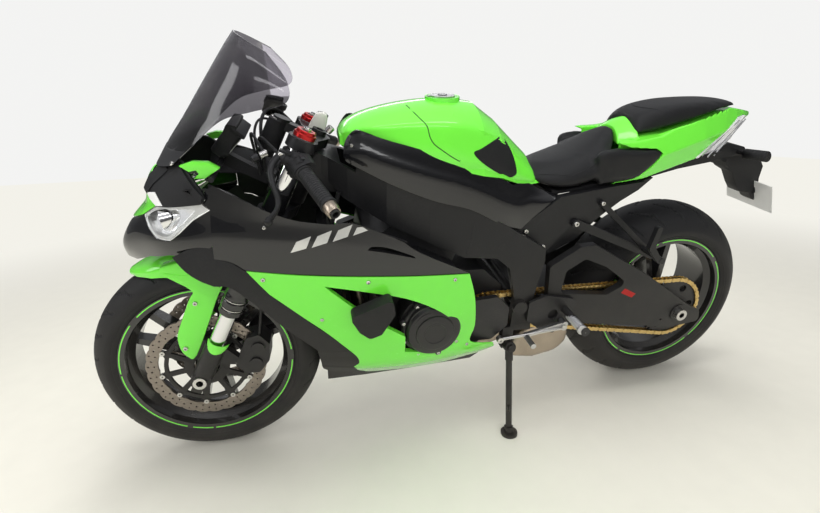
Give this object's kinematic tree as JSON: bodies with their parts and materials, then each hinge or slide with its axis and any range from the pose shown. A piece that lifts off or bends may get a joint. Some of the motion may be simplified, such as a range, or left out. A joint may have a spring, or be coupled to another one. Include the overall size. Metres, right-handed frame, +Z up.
{
  "type": "sport motorcycle",
  "caption": "Fully faired sport motorcycle leaning on its side stand, with turning wheels, steering fork, folding stand and hinged fuel cap.",
  "frame": {"origin": "floor point under the centre of the leaning motorcycle's bounding box", "axes": "+X forward, +Y to the rider's left, +Z up"},
  "size_m": [2.0922, 0.6998, 1.15],
  "materials": {
    "frame": "matt black",
    "headstock": "matt black",
    "frame_bridges": "matt black",
    "engine": "dark satin",
    "engine_covers": "satin black",
    "radiator": "black finned core",
    "exhaust": "heat-tinted stainless",
    "swingarm": "matt black with polished edges",
    "swingarm_crossmember": "matt black",
    "rear_axle": "silver",
    "rear_shock": "satin",
    "chain": "gold",
    "fuel_tank": "gloss lime green",
    "tank_side_covers": "gloss black",
    "rider_seat": "matt black vinyl",
    "pillion_seat": "matt black vinyl",
    "tail_cowl": "gloss lime green",
    "tail_light": "clear lens",
    "subframe": "matt black",
    "undertail": "black",
    "plate_hanger": "black",
    "number_plate": "blank white",
    "nose_cowl": "gloss and matt black with green pieces",
    "headlights": "clear lens over chrome reflector",
    "screen": "smoked transparent",
    "upper_side_fairings": "gloss metallic black",
    "lower_fairings": "gloss lime green",
    "inner_panels": "matt black",
    "instruments": "black",
    "crash_sliders": "black",
    "rearsets": "black with silver pegs",
    "foot_levers": "black and silver",
    "triple_clamps": "black",
    "fork_tubes": "black upper tubes, chrome lower",
    "fork_feet": "black castings",
    "front_axle": "silver",
    "clip_ons": "black with bare bar ends",
    "grips": "black",
    "hand_controls": "black",
    "brake_calipers": "black",
    "front_fender": "gloss lime green",
    "brake_hoses": "black",
    "front_tyre": "black",
    "front_rim": "black with green stripe segments",
    "front_discs": "bronze steel",
    "rear_tyre": "black",
    "rear_rim": "black with green stripe segments",
    "rear_disc": "steel",
    "rear_sprocket": "black",
    "side_stand": "black",
    "fuel_cap": "silver and black"
  },
  "bodies": {
    "chassis": {"frame": "frame", "headstock": "headstock", "frame_bridges": "frame_bridges", "engine": "engine", "engine_covers": "engine_covers", "radiator": "radiator", "exhaust": "exhaust", "swingarm": "swingarm", "swingarm_crossmember": "swingarm_crossmember", "rear_axle": "rear_axle", "rear_shock": "rear_shock", "chain": "chain", "fuel_tank": "fuel_tank", "tank_side_covers": "tank_side_covers", "rider_seat": "rider_seat", "pillion_seat": "pillion_seat", "tail_cowl": "tail_cowl", "tail_light": "tail_light", "subframe": "subframe", "undertail": "undertail", "plate_hanger": "plate_hanger", "number_plate": "number_plate", "nose_cowl": "nose_cowl", "headlights": "headlights", "screen": "screen", "upper_side_fairings": "upper_side_fairings", "lower_fairings": "lower_fairings", "inner_panels": "inner_panels", "instruments": "instruments", "crash_sliders": "crash_sliders", "rearsets": "rearsets", "foot_levers": "foot_levers"},
    "front_fork": {"triple_clamps": "triple_clamps", "fork_tubes": "fork_tubes", "fork_feet": "fork_feet", "front_axle": "front_axle", "clip_ons": "clip_ons", "grips": "grips", "hand_controls": "hand_controls", "brake_calipers": "brake_calipers", "front_fender": "front_fender", "brake_hoses": "brake_hoses"},
    "front_wheel": {"front_tyre": "front_tyre", "front_rim": "front_rim", "front_discs": "front_discs"},
    "rear_wheel": {"rear_tyre": "rear_tyre", "rear_rim": "rear_rim", "rear_disc": "rear_disc", "rear_sprocket": "rear_sprocket"},
    "side_stand": {"side_stand": "side_stand"},
    "fuel_cap": {"fuel_cap": "fuel_cap"}
  },
  "joints": [
    {"name": "steering", "type": "hinge", "parent": "chassis", "child": "front_fork", "pos_m": [0.85196, -0.15837, 0.00289], "axis": [-0.4228, 0.2039, 0.883], "range_deg": [-22.14, 31.86]},
    {"name": "front_wheel_spin", "type": "hinge", "parent": "front_fork", "child": "front_wheel", "pos_m": [0.74479, -0.09298, 0.29766], "axis": [0.0768, 0.9789, -0.1892], "continuous": true},
    {"name": "rear_wheel_spin", "type": "hinge", "parent": "chassis", "child": "rear_wheel", "pos_m": [-0.68012, -0.08533, 0.31923], "axis": [0, 0.9744, -0.225], "continuous": true},
    {"name": "side_stand_hinge", "type": "hinge", "parent": "chassis", "child": "side_stand", "pos_m": [-0.08811, 0.07119, 0.26373], "axis": [0, 1, -0.0008], "range_deg": [0, 90]},
    {"name": "fuel_cap_hinge", "type": "hinge", "parent": "chassis", "child": "fuel_cap", "pos_m": [0.13273, 0.06925, 0.9888], "axis": [0, 0.9744, -0.225], "range_deg": [0, 100]}
  ]
}
